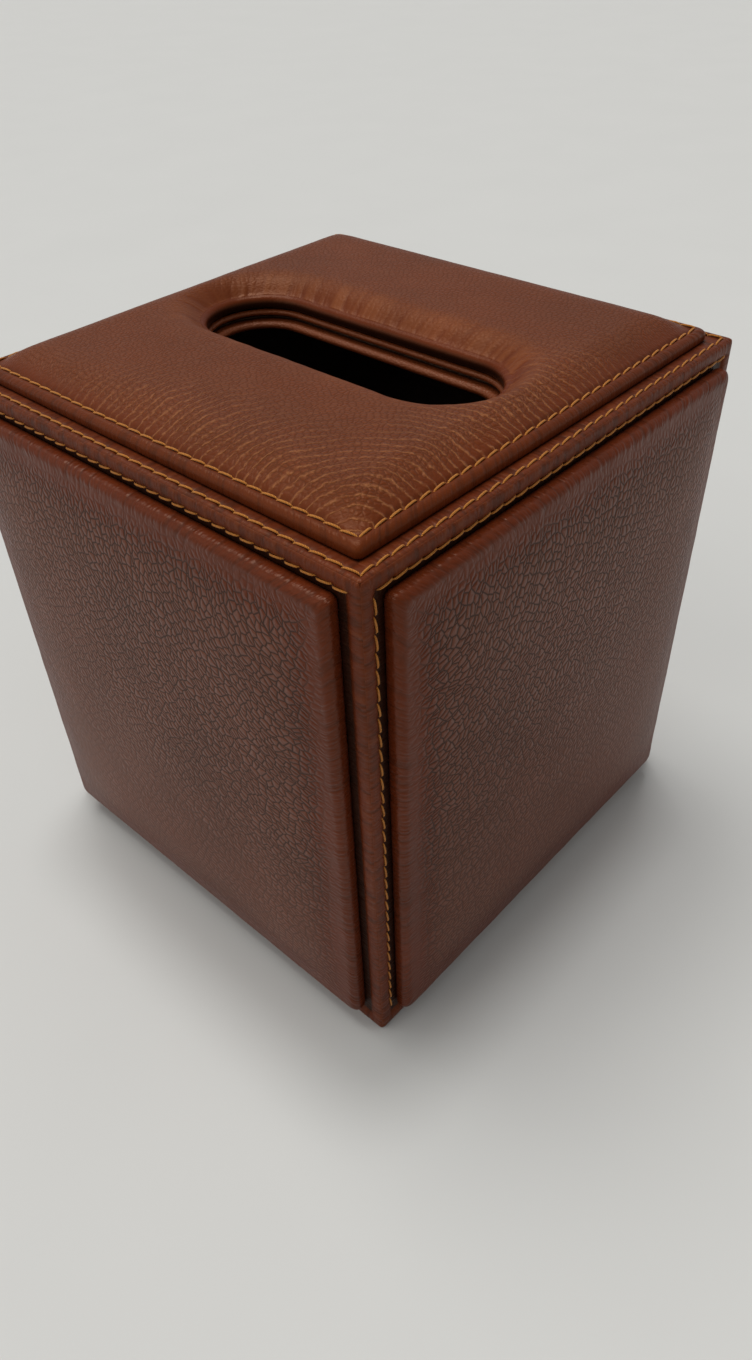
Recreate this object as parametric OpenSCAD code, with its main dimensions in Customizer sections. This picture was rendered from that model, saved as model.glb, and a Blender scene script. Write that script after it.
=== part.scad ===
// A leather-covered napkin box with padded faces, a slot in its top and a hinged flap in its base.
// The origin is the centre of the base on the table, +Z is up, and the slot runs along X.

/* [Box] */
// Width over the stitched edges, left to right
box_w = 150; // [140:1:180]
// Depth over the stitched edges, front to back
box_d = 150; // [130:1:180]
// Height to the rim of the top
box_h = 162; // [120:1:200]
// Radius of the upright edges
edge_round = 1.5; // [0.8:0.1:2]

/* [Walls] */
// Thickness of the four wall boards
wall_t = 3; // [2:0.25:4]
// Thickness of the top board
top_t = 3.5; // [2.5:0.25:5]
// Thickness of the leather that covers the boards
cover_t = 1.2; // [0.8:0.1:1.6]
// Thickness of the soft lining inside
lining_t = 0.8; // [0.5:0.1:1.2]

/* [Stitched edges] */
// Width of the raised edge round each side face
edge_w = 4.4; // [3.5:0.1:5]
// How far that edge stands above the seat of the side pad
edge_rise = 0.8; // [0.4:0.1:1]
// Width of the raised rim round the top face
rim_w = 2.4; // [1.6:0.1:3.5]
// How far the rim stands above the seat of the top pad
rim_rise = 0.5; // [0.3:0.1:0.9]

/* [Side pads] */
// From the box's upright edge to the pad
side_gap = 6.6; // [5.5:0.1:9]
// From the box's rim down to the pad
head_gap = 5.8; // [5.2:0.1:9]
// From the table up to the pad
foot_gap = 6.4; // [5.2:0.1:9]
// Radius of the pad's rolled edge
side_roll = 3.8; // [3.5:0.1:5]
// Height of the pad's middle above its rolled edge
side_crown = 2; // [0.5:0.1:4]
// Width over which the pad swells from its edge to its middle
side_swell = 26; // [12:1:40]
// Thickness of the pad's board
side_board_t = 1.8; // [1.2:0.1:2]
// Radius of the pad's corners
pad_corner = 4; // [3:0.1:8]

/* [Top pad] */
// From the box's edge to the pad
top_gap = 5.5; // [4:0.1:8]
// Radius of the pad's rolled edge
top_roll = 1.9; // [1.6:0.1:2.3]
// From the pad's edge to where it starts to swell, outside its seam
seam_in = 3.4; // [2.8:0.1:4]
// Height of the pad's middle above its edge
top_crown = 4.3; // [3.2:0.1:6]
// Width over which the pad swells from its seam and from its slot
top_swell = 8; // [4:0.5:8]
// Thickness of the pad's board
top_board_t = 1.4; // [1.2:0.1:2]

/* [Pad leather] */
// Thickness of the leather on the pads
skin_t = 1.2; // [0.9:0.05:1.3]
// Width of the leather turned under the pad's board
turn_w = 6; // [4:0.5:6]
// Clearance between the foam and the leather over it
foam_fit = 0.2; // [0.1:0.05:0.3]

/* [Slot] */
// Length of the opening in the top pad
slot_l = 98; // [70:1:101]
// Width of the opening in the top pad
slot_w = 30; // [20:1:50]
// Radius of the pad leather's roll into the slot
slot_roll = 2.2; // [1.6:0.1:2.4]
// How far the box's slot stands back from the pad's
slot_step = 1; // [0.5:0.1:2]
// Thickness of the leather that lines the slot
slot_lining_t = 1.2; // [0.8:0.1:1.6]
// How far the lining's two lips stand into the slot
lip_rise = 0.5; // [0.3:0.1:1]
// Height of each lip of the lining
lip_h = 1.4; // [0.8:0.1:2]
// Clearance round the lining in the boards
slot_fit = 0.1; // [0.05:0.05:0.3]

/* [Base flap] */
// Height of the closed flap above the table
flap_lift = 1.4; // [1.3:0.1:3]
// Thickness of the flap's board
flap_board_t = 2.5; // [2:0.25:4]
// Thickness of the leather under the flap and round its edges
flap_cover_t = 1.2; // [0.8:0.1:1.6]
// Thickness of the lining on the flap
flap_lining_t = 0.8; // [0.5:0.1:1.2]
// Running gap between the flap and the walls
flap_gap = 0.8; // [0.5:0.1:1.5]
// Running gap at the flap's hinge and over its closed front edge
stop_gap = 0.3; // [0.2:0.05:0.5]
// Thickness of the leather hinge
hinge_t = 0.8; // [0.6:0.1:1.2]
// Depth of the batten that the flap closes against
batten_d = 10; // [10:0.5:16]
// Height of that batten
batten_h = 5; // [4:0.5:8]
// Radius of the magnets and their steel plates
magnet_r = 3.5; // [2:0.25:3.75]
// Thickness of the magnets
magnet_t = 1.5; // [1:0.1:2]
// Thickness of the steel plates
plate_t = 1; // [0.6:0.1:2]
// Distance between the two magnets
magnet_pitch = 80; // [40:1:110]
// Width of the pull tab
tab_w = 18; // [12:1:30]
// Length of the pull tab
tab_l = 15; // [10:1:30]
// Thickness of the pull tab
tab_t = 1; // [0.6:0.1:1]
// Length of one stitch of the tab
stitch_l = 2.4; // [1.5:0.1:4]
// Thickness of the thread
thread_t = 0.25; // [0.2:0.05:0.3]

/* [Hidden] */
$fn = 48;

leather = [0.40, 0.21, 0.13];
leather_dark = [0.30, 0.15, 0.09];
board_grey = [0.62, 0.60, 0.56];
foam_white = [0.88, 0.86, 0.80];
lining_brown = [0.20, 0.13, 0.10];
steel = [0.66, 0.67, 0.70];
thread_gold = [0.78, 0.55, 0.28];

// Steps round a quarter of a rounded outline, and up a rolled edge
corner_steps = 4;
roll_angles = [0, 30, 60, 90];
// How far up the swell each ring of a pad lies, from its edge to its middle
swell_steps = [0.2, 0.45, 0.7, 1];
// A rounded outline keeps this much straight side, and how fast its corners open inwards
least_side = 0.25;
corner_growth = 0.3;
// Room that cuts run past a face
past = 1;

// Where the walls and the top lie
shell_in = edge_rise + cover_t;
cavity_in = shell_in + wall_t;
cavity_w = box_w - 2 * cavity_in;
cavity_d = box_d - 2 * cavity_in;
top_seat = box_h - rim_rise;
top_board_z = top_seat - cover_t - top_t;
wall_h = top_board_z - cover_t;

// Pads: each starts with leather turned under its board
side_edge = skin_t + side_roll;
side_board_top = skin_t + side_board_t;
side_pad_w = box_w - 2 * side_gap;
side_pad_d = box_d - 2 * side_gap;
side_pad_h = box_h - head_gap - foot_gap;
side_pad_z = foot_gap + side_pad_h / 2;
top_pad_w = box_w - 2 * top_gap;
top_pad_d = box_d - 2 * top_gap;
top_edge = 2 * skin_t + top_board_t;
top_board_top = skin_t + top_board_t;
// The swell of the top pad fits in the narrowest strip beside the slot
slot_margin = min(top_pad_w - slot_l, top_pad_d - slot_w) / 2;
top_rise_w = min(top_swell, (slot_margin - seam_in - slot_roll) / 2 - past / 2);

// The slot through the box's top
bore_out = slot_step + lip_rise + slot_lining_t;
slot_cut = bore_out + slot_fit;
slot_bottom = top_board_z - lining_t;

// The flap in the base
flap_w = cavity_w - 2 * flap_gap;
flap_front = -cavity_d / 2 + flap_gap;
flap_back = cavity_d / 2 - hinge_t - stop_gap;
flap_d = flap_back - flap_front;
flap_y = (flap_front + flap_back) / 2;
flap_board_z = flap_lift + flap_cover_t;
flap_lining_z = flap_board_z + flap_board_t;
flap_top = flap_lining_z + flap_lining_t;
batten_z = flap_top + stop_gap;
batten_y = -cavity_d / 2 + batten_d / 2;
magnet_y = flap_front + flap_cover_t + stop_gap + magnet_r;
lining_z = batten_z + batten_h;
hinge_z = flap_lift + past;

// Basic outlines
module rounded(w, d, r) {
    square([w - 2 * r, d], center = true);
    square([w, d - 2 * r], center = true);
    for (x = [-1, 1], y = [-1, 1])
        translate([x * (w / 2 - r), y * (d / 2 - r)]) circle(r);
}

// The slot's outline, with its edge moved outwards by out
module slot_outline(out) {
    square([slot_l - slot_w, slot_w + 2 * out], center = true);
    for (x = [-1, 1])
        translate([x * (slot_l - slot_w) / 2, 0]) circle(slot_w / 2 + out);
}

module slab(w, d, h) {
    translate([-w / 2, -d / 2, 0]) cube([w, d, h]);
}

// One ring of points round a rectangle with rounded corners
function ring(w, d, r, z) = [
    for (corner = [0:3], step = [0:corner_steps])
        let (a = 90 * (corner + step / corner_steps),
             x = (corner == 0 || corner == 3 ? 1 : -1) * (w / 2 - r),
             y = (corner < 2 ? 1 : -1) * (d / 2 - r))
        [x + r * cos(a), y + r * sin(a), z]
];

// A ring that lies inset from a pad's outline of w by d
function pad_ring(w, d, inset, z) =
    ring(w - 2 * inset, d - 2 * inset, pad_corner + corner_growth * inset, z);

// A ring that lies out from the slot's outline
function slot_ring(out, z) =
    ring(slot_l + 2 * out, slot_w + 2 * out, slot_w / 2 + out - least_side, z);

function backwards(list) = [for (i = [len(list) - 1:-1:0]) list[i]];

// A closed solid through rings of points: capped at both ends, or looped back to the first ring
module loft(rings, looped = false) {
    n = len(rings[0]);
    m = len(rings);
    spans = looped ? m : m - 1;
    sides = [
        for (k = [0:spans - 1], i = [0:n - 1])
            let (a = k * n + i,
                 b = k * n + (i + 1) % n,
                 c = ((k + 1) % m) * n + (i + 1) % n,
                 e = ((k + 1) % m) * n + i)
            each [[a, c, b], [a, e, c]]
    ];
    first = [for (i = [0:n - 1]) i];
    last = [for (i = [n - 1:-1:0]) (m - 1) * n + i];
    polyhedron(
        points = [for (r = rings) each r],
        faces = looped ? sides : concat(sides, [first, last]),
        convexity = 8
    );
}

// Pads on the side faces, drawn lying down with their backs at z = 0

// The pad's surface moved inwards by o, as rings from its rolled edge to its middle
function side_surface(w, d, o, angles) = concat(
    [for (a = angles)
        pad_ring(w, d, side_roll - (side_roll - o) * cos(a), skin_t + (side_roll - o) * sin(a))],
    [for (f = swell_steps)
        pad_ring(w, d, side_roll + f * side_swell, side_edge - o + side_crown * sin(90 * f))]
);

// Where the foam starts, just above the board
foam_o = skin_t + foam_fit;
foam_angle = asin(side_board_t / (side_roll - foam_o));
foam_inset = side_roll - (side_roll - foam_o) * cos(foam_angle);

module side_leather(w, d) {
    inner = side_surface(w, d, skin_t, roll_angles);
    turned = [
        pad_ring(w, d, turn_w, skin_t),
        pad_ring(w, d, turn_w, 0),
        pad_ring(w, d, 0, 0)
    ];
    loft(concat(backwards(inner), turned, side_surface(w, d, 0, roll_angles)));
}

module side_board(w, d) {
    translate([0, 0, skin_t])
        linear_extrude(side_board_t)
            rounded(w - 2 * foam_inset, d - 2 * foam_inset, pad_corner);
}

module side_foam(w, d) {
    loft(side_surface(w, d, foam_o, [foam_angle, (foam_angle + 90) / 2, 90]));
}

// Stands a pad's drawing up against a side face: 0 front, 90 right, 180 back, 270 left
module on_side(turn) {
    reach = (turn % 180 == 0 ? box_d : box_w) / 2 - edge_rise;
    rotate([0, 0, turn]) translate([0, -reach, side_pad_z]) rotate([90, 0, 0]) children();
}

function side_width(turn) = turn % 180 == 0 ? side_pad_w : side_pad_d;

module pad_board(turn) {
    color(board_grey) on_side(turn) side_board(side_width(turn), side_pad_h);
}

module pad_foam(turn) {
    color(foam_white) on_side(turn) side_foam(side_width(turn), side_pad_h);
}

module pad_leather(turn) {
    color(leather) on_side(turn) side_leather(side_width(turn), side_pad_h);
}

// The top pad, with its slot

// Heights up the top pad's swell, with the surface moved down by o
function top_height(f, o) = top_edge - o + top_crown * sin(90 * f);

function top_outside(o) = concat(
    [for (a = roll_angles)
        pad_ring(top_pad_w, top_pad_d, top_roll - (top_roll - o) * cos(a),
                 top_edge - top_roll + (top_roll - o) * sin(a))],
    [pad_ring(top_pad_w, top_pad_d, seam_in, top_edge - o)],
    [for (f = swell_steps) pad_ring(top_pad_w, top_pad_d, seam_in + f * top_rise_w, top_height(f, o))]
);

function top_slotside(o) = concat(
    [for (f = backwards(swell_steps)) slot_ring(slot_roll + f * top_rise_w, top_height(f, o))],
    [for (a = backwards(roll_angles))
        slot_ring(slot_roll - (slot_roll - o) * cos(a), top_edge - slot_roll + (slot_roll - o) * sin(a))]
);

module pad_top_leather() {
    color(leather) translate([0, 0, top_seat]) loft(concat(
        [pad_ring(top_pad_w, top_pad_d, 0, 0)],
        top_outside(0),
        top_slotside(0),
        [slot_ring(0, 0), slot_ring(turn_w, 0), slot_ring(turn_w, skin_t), slot_ring(skin_t, skin_t)],
        backwards(top_slotside(skin_t)),
        backwards(top_outside(skin_t)),
        [pad_ring(top_pad_w, top_pad_d, skin_t, skin_t),
         pad_ring(top_pad_w, top_pad_d, turn_w, skin_t),
         pad_ring(top_pad_w, top_pad_d, turn_w, 0)]
    ), looped = true);
}

module pad_top_board() {
    color(board_grey) translate([0, 0, top_seat + skin_t]) linear_extrude(top_board_t) difference() {
        rounded(top_pad_w - 2 * top_roll, top_pad_d - 2 * top_roll, pad_corner);
        slot_outline(slot_roll);
    }
}

module pad_top_foam() {
    low = swell_steps[0] * top_rise_w;
    color(foam_white) translate([0, 0, top_seat]) loft(concat(
        [pad_ring(top_pad_w, top_pad_d, seam_in + low, top_board_top)],
        [for (f = swell_steps) pad_ring(top_pad_w, top_pad_d, seam_in + f * top_rise_w, top_height(f, foam_o))],
        [for (f = backwards(swell_steps)) slot_ring(slot_roll + f * top_rise_w, top_height(f, foam_o))],
        [slot_ring(slot_roll + low, top_board_top)]
    ), looped = true);
}

// The boards of the box

module wall_board_wide(side) {
    color(board_grey)
        translate([0, side * (box_d / 2 - shell_in - wall_t / 2), cover_t])
            slab(box_w - 2 * shell_in, wall_t, wall_h);
}

module wall_board_deep(side) {
    color(board_grey)
        translate([side * (box_w / 2 - shell_in - wall_t / 2), 0, cover_t])
            slab(wall_t, cavity_d, wall_h);
}

module board_top() {
    color(board_grey) translate([0, 0, top_board_z]) linear_extrude(top_t) difference() {
        square([box_w - 2 * shell_in, box_d - 2 * shell_in], center = true);
        slot_outline(slot_cut);
    }
}

// The cover leathers: four sides that meet at mitred upright edges, and the top

module cover_shell() {
    shell_top = top_seat - cover_t;
    seat_h = box_h - 2 * edge_w;
    difference() {
        linear_extrude(shell_top) rounded(box_w, box_d, edge_round);
        translate([0, 0, cover_t]) slab(box_w - 2 * shell_in, box_d - 2 * shell_in, box_h);
        translate([0, 0, -past]) slab(cavity_w, cavity_d, box_h);
        for (side = [-1, 1]) {
            translate([0, side * box_d / 2, edge_w]) slab(box_w - 2 * edge_w, 2 * edge_rise, seat_h);
            translate([side * box_w / 2, 0, edge_w]) slab(2 * edge_rise, box_d - 2 * edge_w, seat_h);
        }
    }
}

// The part of the shell on one side, cut at 45 degrees at each upright edge
module cover_side(turn) {
    span = (turn % 180 == 0 ? box_w : box_d) / 2;
    reach = (turn % 180 == 0 ? box_d : box_w) / 2;
    deep = cavity_in + past;
    color(leather) intersection() {
        cover_shell();
        rotate([0, 0, turn]) translate([0, -reach, -past]) linear_extrude(box_h) polygon([
            [-span - past, -past], [span + past, -past], [span - deep, deep], [-span + deep, deep]
        ]);
    }
}

module cover_top() {
    color(leather) translate([0, 0, top_seat - cover_t]) difference() {
        linear_extrude(cover_t + rim_rise) rounded(box_w, box_d, edge_round);
        translate([0, 0, cover_t]) slab(box_w - 2 * rim_w, box_d - 2 * rim_w, box_h);
        translate([0, 0, -past]) linear_extrude(box_h) slot_outline(slot_cut);
    }
}

// The linings

module slot_lining() {
    depth = top_seat - slot_bottom;
    color(leather_dark) translate([0, 0, slot_bottom]) {
        linear_extrude(depth) difference() {
            slot_outline(bore_out);
            slot_outline(slot_step + lip_rise);
        }
        for (z = [0, depth - lip_h])
            translate([0, 0, z]) linear_extrude(lip_h) difference() {
                slot_outline(bore_out);
                slot_outline(slot_step);
            }
    }
}

module lining_walls() {
    color(lining_brown) translate([0, 0, lining_z]) difference() {
        slab(cavity_w, cavity_d, slot_bottom - lining_z);
        translate([0, 0, -past]) slab(cavity_w - 2 * lining_t, cavity_d - 2 * lining_t, box_h);
    }
}

module lining_top() {
    color(lining_brown) translate([0, 0, slot_bottom]) linear_extrude(lining_t) difference() {
        square([cavity_w, cavity_d], center = true);
        slot_outline(slot_cut);
    }
}

// The base: a batten with steel plates at the front, a leather hinge at the back, and the flap

module at_magnets(z) {
    for (side = [-1, 1]) translate([side * magnet_pitch / 2, magnet_y, z]) children();
}

module closing_batten() {
    color(leather_dark) difference() {
        translate([0, batten_y, batten_z]) slab(cavity_w, batten_d, batten_h);
        at_magnets(batten_z - past) cylinder(r = magnet_r, h = plate_t + past);
    }
}

module catch_plates() {
    color(steel) at_magnets(batten_z) cylinder(r = magnet_r, h = plate_t);
}

module hinge_strip() {
    color(leather_dark)
        translate([0, cavity_d / 2 - hinge_t / 2, hinge_z])
            slab(flap_w, hinge_t, lining_z - hinge_z);
}

module flap_cover() {
    color(leather) translate([0, flap_y, flap_lift]) difference() {
        slab(flap_w, flap_d, flap_cover_t + flap_board_t);
        translate([0, 0, flap_cover_t])
            slab(flap_w - 2 * flap_cover_t, flap_d - 2 * flap_cover_t, flap_board_t + past);
    }
}

module flap_board() {
    color(board_grey) difference() {
        translate([0, flap_y, flap_board_z])
            slab(flap_w - 2 * flap_cover_t, flap_d - 2 * flap_cover_t, flap_board_t);
        at_magnets(flap_lining_z - magnet_t) cylinder(r = magnet_r, h = magnet_t + past);
    }
}

module flap_magnets() {
    color(steel) at_magnets(flap_lining_z - magnet_t) cylinder(r = magnet_r, h = magnet_t);
}

module flap_lining() {
    color(lining_brown) translate([0, flap_y, flap_lining_z]) slab(flap_w, flap_d, flap_lining_t);
}

module pull_tab() {
    color(leather_dark)
        translate([0, flap_front + tab_l / 2, flap_lift - tab_t]) slab(tab_w, tab_l, tab_t);
}

// A row of stitches across the tab's fixed end
module tab_stitching() {
    room = tab_w - 2 * stitch_l;
    count = floor(room / (1.5 * stitch_l));
    color(thread_gold)
        for (i = [0:count])
            translate([-room / 2 + i * room / count, flap_front + tab_l - stitch_l, flap_lift - tab_t - thread_t])
                slab(stitch_l, 2 * thread_t, thread_t);
}

wall_board_wide(-1);  // board_front
wall_board_wide(1);  // board_back
wall_board_deep(-1);  // board_left
wall_board_deep(1);  // board_right
board_top();
cover_side(0);  // cover_front
cover_side(90);  // cover_right
cover_side(180);  // cover_back
cover_side(270);  // cover_left
cover_top();
pad_board(0);  // pad_front_board
pad_foam(0);  // pad_front_foam
pad_leather(0);  // pad_front_leather
pad_board(90);  // pad_right_board
pad_foam(90);  // pad_right_foam
pad_leather(90);  // pad_right_leather
pad_board(180);  // pad_back_board
pad_foam(180);  // pad_back_foam
pad_leather(180);  // pad_back_leather
pad_board(270);  // pad_left_board
pad_foam(270);  // pad_left_foam
pad_leather(270);  // pad_left_leather
pad_top_board();
pad_top_foam();
pad_top_leather();
slot_lining();
lining_walls();
lining_top();
closing_batten();
catch_plates();
hinge_strip();
flap_board();
flap_cover();
flap_lining();
flap_magnets();
pull_tab();
tab_stitching();
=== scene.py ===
"""Leather napkin box: padded hide panels, stitched cover, stepped slot and a plain studio stage."""

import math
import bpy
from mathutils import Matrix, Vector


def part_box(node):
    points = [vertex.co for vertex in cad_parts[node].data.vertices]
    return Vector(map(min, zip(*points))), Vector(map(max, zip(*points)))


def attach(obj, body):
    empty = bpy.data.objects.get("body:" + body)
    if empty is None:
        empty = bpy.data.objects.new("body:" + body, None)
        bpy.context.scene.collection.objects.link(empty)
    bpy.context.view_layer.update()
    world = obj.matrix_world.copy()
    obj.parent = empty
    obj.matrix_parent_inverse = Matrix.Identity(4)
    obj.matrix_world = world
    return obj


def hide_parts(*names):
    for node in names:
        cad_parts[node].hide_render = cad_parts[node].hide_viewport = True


bl_info = {
    "name": "Leather napkin box",
    "version": (1, 0, 0),
    "blender": (4, 5, 0),
    "location": "3D Viewport > Sidebar > Napkin Box",
    "description": "Dresses the packed napkin box in padded hide, topstitching and a plain stage",
    "category": "Object",
}

import bpy
import numpy as np
from bpy.props import FloatProperty, FloatVectorProperty, PointerProperty
from mathutils import Matrix, Vector, noise

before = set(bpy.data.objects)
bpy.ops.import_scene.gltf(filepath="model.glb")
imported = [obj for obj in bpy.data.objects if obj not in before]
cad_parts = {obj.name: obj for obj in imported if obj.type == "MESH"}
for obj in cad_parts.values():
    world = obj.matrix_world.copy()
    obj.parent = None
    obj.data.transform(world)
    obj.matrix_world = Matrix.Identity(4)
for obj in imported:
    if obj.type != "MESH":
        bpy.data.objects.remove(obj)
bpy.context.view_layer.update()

# Everything below is drawn in millimetres and turned into metres when its mesh is made
MM = 0.001

# How each side face lies: its own left-to-right direction and its outward direction
SIDES = {
    "front": ((1, 0, 0), (0, -1, 0)),
    "right": ((0, 1, 0), (1, 0, 0)),
    "back": ((-1, 0, 0), (0, 1, 0)),
    "left": ((0, -1, 0), (-1, 0, 0)),
}
# The hide on each side was pulled towards one of its top corners: -1 the left one, 1 the right one
PULLED_TO = {"front": 1, "right": -1, "back": 1, "left": -1}


def mm_box(node):
    """A CAD node's lowest and highest corner in millimetres."""
    low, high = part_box(node)
    return np.array(low) / MM, np.array(high) / MM


def srgb(red, green, blue):
    """A colour picked on screen, 0 to 255, as the linear values that Blender keeps."""
    return tuple(
        c / 12.92 if c <= 0.04045 else ((c + 0.055) / 1.055) ** 2.4
        for c in (red / 255, green / 255, blue / 255)
    )


# ---------------------------------------------------------------- settings


class NapkinBoxSizes(bpy.types.PropertyGroup):
    stitch_pitch: FloatProperty(
        name="Stitch Pitch", description="Distance from one stitch to the next",
        default=4.6 * MM, min=2 * MM, max=10 * MM, subtype="DISTANCE", unit="LENGTH", precision=4)
    stitch_length: FloatProperty(
        name="Stitch Length", description="Length of thread that shows of one stitch",
        default=4.9 * MM, min=1 * MM, max=9 * MM, subtype="DISTANCE", unit="LENGTH", precision=4)
    thread_thickness: FloatProperty(
        name="Thread Thickness", description="Thickness of the sewing thread",
        default=0.6 * MM, min=0.3 * MM, max=1.5 * MM, subtype="DISTANCE", unit="LENGTH", precision=5)
    stitch_slant: FloatProperty(
        name="Stitch Slant", description="How far each stitch turns away from its seam",
        default=math.radians(7), min=0, max=math.radians(30), subtype="ANGLE", unit="ROTATION")
    pad_seam: FloatProperty(
        name="Top Pad Seam", description="Distance of the top pad's seam from its edge",
        default=2.6 * MM, min=2 * MM, max=5 * MM, subtype="DISTANCE", unit="LENGTH", precision=4)
    side_swell: FloatProperty(
        name="Side Pad Swell", description="Width over which a side pad rises to its full height",
        default=26 * MM, min=5 * MM, max=60 * MM, subtype="DISTANCE", unit="LENGTH", precision=4)
    top_swell: FloatProperty(
        name="Top Pad Swell", description="Width over which the top pad rises from its seam",
        default=12 * MM, min=4 * MM, max=20 * MM, subtype="DISTANCE", unit="LENGTH", precision=4)
    hide_thickness: FloatProperty(
        name="Hide Thickness", description="Thickness of the leather",
        default=1.2 * MM, min=0.6 * MM, max=2 * MM, subtype="DISTANCE", unit="LENGTH", precision=4)
    pebble_width: FloatProperty(
        name="Pebble Width", description="Width of one pebble of the grain, across the pull of the hide",
        default=1.7 * MM, min=0.5 * MM, max=5 * MM, subtype="DISTANCE", unit="LENGTH", precision=4)
    pebble_length: FloatProperty(
        name="Pebble Length", description="Length of one pebble of the grain, along the pull of the hide",
        default=2.45 * MM, min=0.5 * MM, max=9 * MM, subtype="DISTANCE", unit="LENGTH", precision=4)


class NapkinBoxColours(bpy.types.PropertyGroup):
    hide: FloatVectorProperty(
        name="Hide", description="Colour of the padded leather",
        default=srgb(108, 50, 20), size=3, min=0, max=1, subtype="COLOR")
    hide_deep: FloatVectorProperty(
        name="Stretched Hide", description="Deeper colour where the leather is stretched over an edge",
        default=srgb(96, 37, 11), size=3, min=0, max=1, subtype="COLOR")
    hide_crease: FloatVectorProperty(
        name="Creases", description="Colour down in the creases of the grain",
        default=srgb(34, 16, 9), size=3, min=0, max=1, subtype="COLOR")
    trim: FloatVectorProperty(
        name="Trim", description="Colour of the leather that lines the slot and the base",
        default=srgb(72, 34, 18), size=3, min=0, max=1, subtype="COLOR")
    thread: FloatVectorProperty(
        name="Thread", description="Colour of the topstitching",
        default=srgb(194, 120, 42), size=3, min=0, max=1, subtype="COLOR")
    lining: FloatVectorProperty(
        name="Lining", description="Colour of the soft lining inside",
        default=srgb(52, 36, 30), size=3, min=0, max=1, subtype="COLOR")
    board: FloatVectorProperty(
        name="Board", description="Colour of the boards",
        default=srgb(150, 144, 134), size=3, min=0, max=1, subtype="COLOR")
    foam: FloatVectorProperty(
        name="Foam", description="Colour of the foam in the pads",
        default=srgb(214, 204, 176), size=3, min=0, max=1, subtype="COLOR")
    steel: FloatVectorProperty(
        name="Steel", description="Colour of the magnets and their plates",
        default=srgb(176, 178, 182), size=3, min=0, max=1, subtype="COLOR")
    floor: FloatVectorProperty(
        name="Floor", description="Colour of the table top",
        default=srgb(206, 206, 203), size=3, min=0, max=1, subtype="COLOR")


# ---------------------------------------------------------------- helpers for meshes


def only(obj):
    """Selects this object alone."""
    bpy.ops.object.select_all(action="DESELECT")
    obj.select_set(True)
    bpy.context.view_layer.objects.active = obj
    return obj


def new_object(name, points, faces):
    """An object from points in millimetres."""
    mesh = bpy.data.meshes.new(name)
    mesh.from_pydata((np.asarray(points, float) * MM).tolist(), [], faces)
    mesh.update()
    obj = bpy.data.objects.new(name, mesh)
    bpy.context.scene.collection.objects.link(obj)
    return only(obj)


def points_of(obj):
    """A mesh's points in millimetres."""
    co = np.empty(len(obj.data.vertices) * 3)
    obj.data.vertices.foreach_get("co", co)
    return co.reshape(-1, 3) / MM


def set_points(obj, points):
    obj.data.vertices.foreach_set("co", (np.asarray(points) * MM).ravel())
    obj.data.update()


def normals_of(obj):
    co = np.empty(len(obj.data.vertices) * 3)
    obj.data.vertices.foreach_get("normal", co)
    return co.reshape(-1, 3)


def set_map(obj, name, coordinates):
    """A UV map with one pair of values for each point."""
    layer = obj.data.uv_layers.get(name) or obj.data.uv_layers.new(name=name)
    corner = np.empty(len(obj.data.loops), int)
    obj.data.loops.foreach_get("vertex_index", corner)
    layer.data.foreach_set("uv", np.asarray(coordinates)[corner].astype(np.float32).ravel())


def set_value(obj, name, values):
    """A number for each point, that a material can read by its name."""
    layer = obj.data.attributes.get(name) or obj.data.attributes.new(name, "FLOAT", "POINT")
    layer.data.foreach_set("value", np.asarray(values, np.float32))


def apply_modifier(obj, kind, **settings):
    only(obj)
    modifier = obj.modifiers.new(kind.title(), kind)
    for key, value in settings.items():
        setattr(modifier, key, value)
    bpy.ops.object.modifier_apply(modifier=modifier.name)


def stand_up(points, side):
    """Points drawn as (across, up, out) on a side face, as points of the box."""
    across, out = SIDES[side]
    points = np.asarray(points)
    return points[:, :1] * np.array(across) + points[:, 2:] * np.array(out) + points[:, 1:2] * np.array((0, 0, 1))


def smooth_noise(points, size, seed=0.0):
    """Soft noise between -1 and 1 at each point, with features of about this size."""
    offset = Vector((seed * 7.31, seed * 3.77, seed * 5.13))
    return np.array([noise.noise(Vector(p) / size + offset) for p in points])


def rise(distance, width):
    """From 0 at the edge to 1 once the distance reaches the width, rounding off on the way."""
    share = np.clip(np.asarray(distance) / width, 0, 1)
    return np.sin(share * math.pi / 2)


def finish_piece(obj, material, body, nodes=(), smooth=True):
    """Gives a finished mesh its material and its body."""
    only(obj)
    if smooth:
        bpy.ops.object.shade_smooth()
    obj.data.materials.clear()
    obj.data.materials.append(material)
    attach(obj, body)
    if nodes:
        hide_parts(*nodes)
    return obj


# ---------------------------------------------------------------- helpers for materials


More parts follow.
